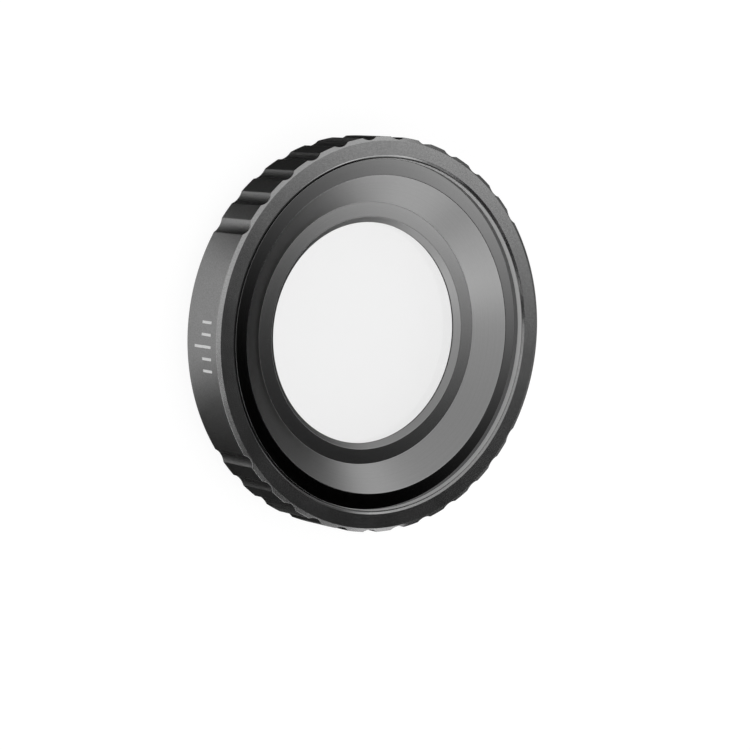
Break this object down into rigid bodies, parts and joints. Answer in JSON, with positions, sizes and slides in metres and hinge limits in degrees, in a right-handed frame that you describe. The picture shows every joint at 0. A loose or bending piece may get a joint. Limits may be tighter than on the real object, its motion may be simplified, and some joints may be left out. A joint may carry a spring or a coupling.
{
  "type": "action camera lens filter",
  "caption": "Round screw-on lens filter for an action camera: fluted metal grip ring, stepped dark bezel, flat clear glass, and a threaded rear spigot with a seal.",
  "frame": {"origin": "on the optical axis, at the end of the threaded spigot that the filter lies on", "axes": "+Z along the optical axis, out of the front; the flute groups face +Y and -Y, the plain lands +X and -X"},
  "size_m": [0.04, 0.04, 0.0078],
  "materials": {
    "blasted_anodised": "black anodised aluminium, bead blasted",
    "gloss_anodised": "black anodised aluminium, turned smooth and glossy",
    "satin_anodised": "black anodised aluminium, turned satin",
    "optical_glass": "clear coated optical glass",
    "silicone": "matt black silicone rubber"
  },
  "bodies": {
    "root": {"grip_ring": "blasted_anodised", "front_bezel": "gloss_anodised", "filter_glass": "optical_glass", "glass_gasket": "silicone", "retaining_ring": "satin_anodised", "mount_seal": "silicone"}
  },
  "joints": []
}
